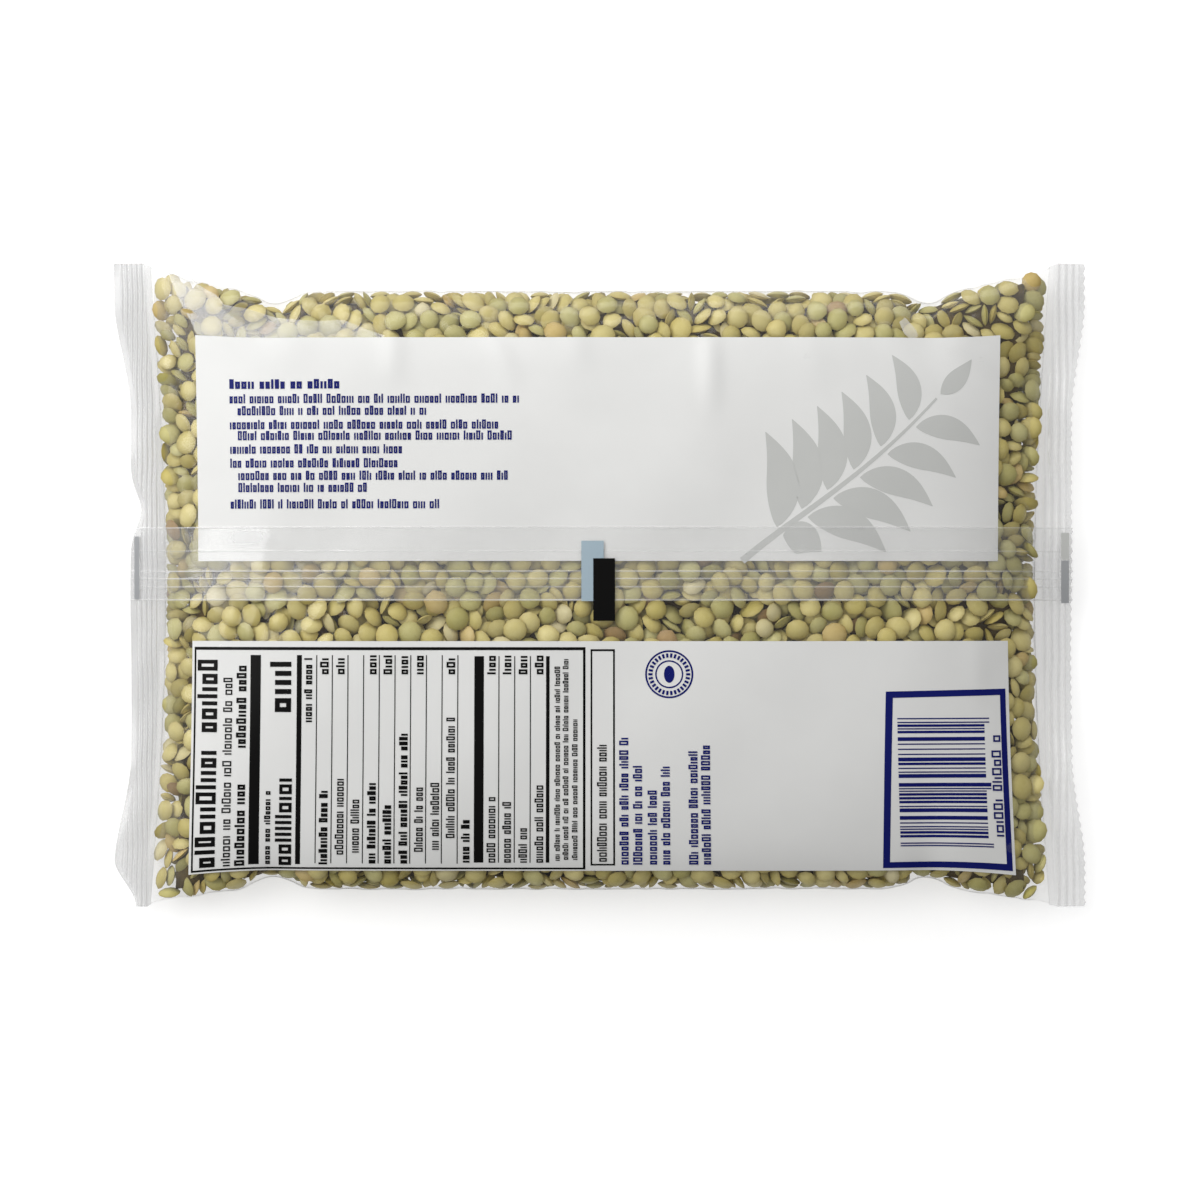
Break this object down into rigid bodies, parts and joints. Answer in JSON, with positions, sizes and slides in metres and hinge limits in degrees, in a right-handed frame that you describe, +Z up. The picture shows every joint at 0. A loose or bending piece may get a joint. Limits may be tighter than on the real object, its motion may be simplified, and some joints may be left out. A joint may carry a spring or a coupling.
{
  "type": "bag of green lentils",
  "caption": "Clear sealed pillow bag of dry green lentils, lying back side up, with crimped end seals, a flat back seam and white print panels.",
  "frame": {"origin": "under the middle of the bag, at the level of the surface it lies on", "axes": "+X along the bag to its toothed end seal, +Y across it to the side of the smaller panel, +Z up"},
  "size_m": [0.299, 0.1976, 0.0302],
  "materials": {
    "green_lentils": "dry seed coat, satin, khaki green to tan",
    "clear_film": "clear glossy film, softly wrinkled",
    "white_print": "opaque white ink on glossy film",
    "blue_print": "dark blue ink on glossy film",
    "pale_blue_print": "pale blue ink on glossy film",
    "black_print": "black ink on glossy film",
    "grey_print": "grey ink on glossy film"
  },
  "bodies": {
    "root": {"filled_bag": "green_lentils", "upper_panel": "white_print", "lower_panel": "white_print"}
  },
  "joints": []
}
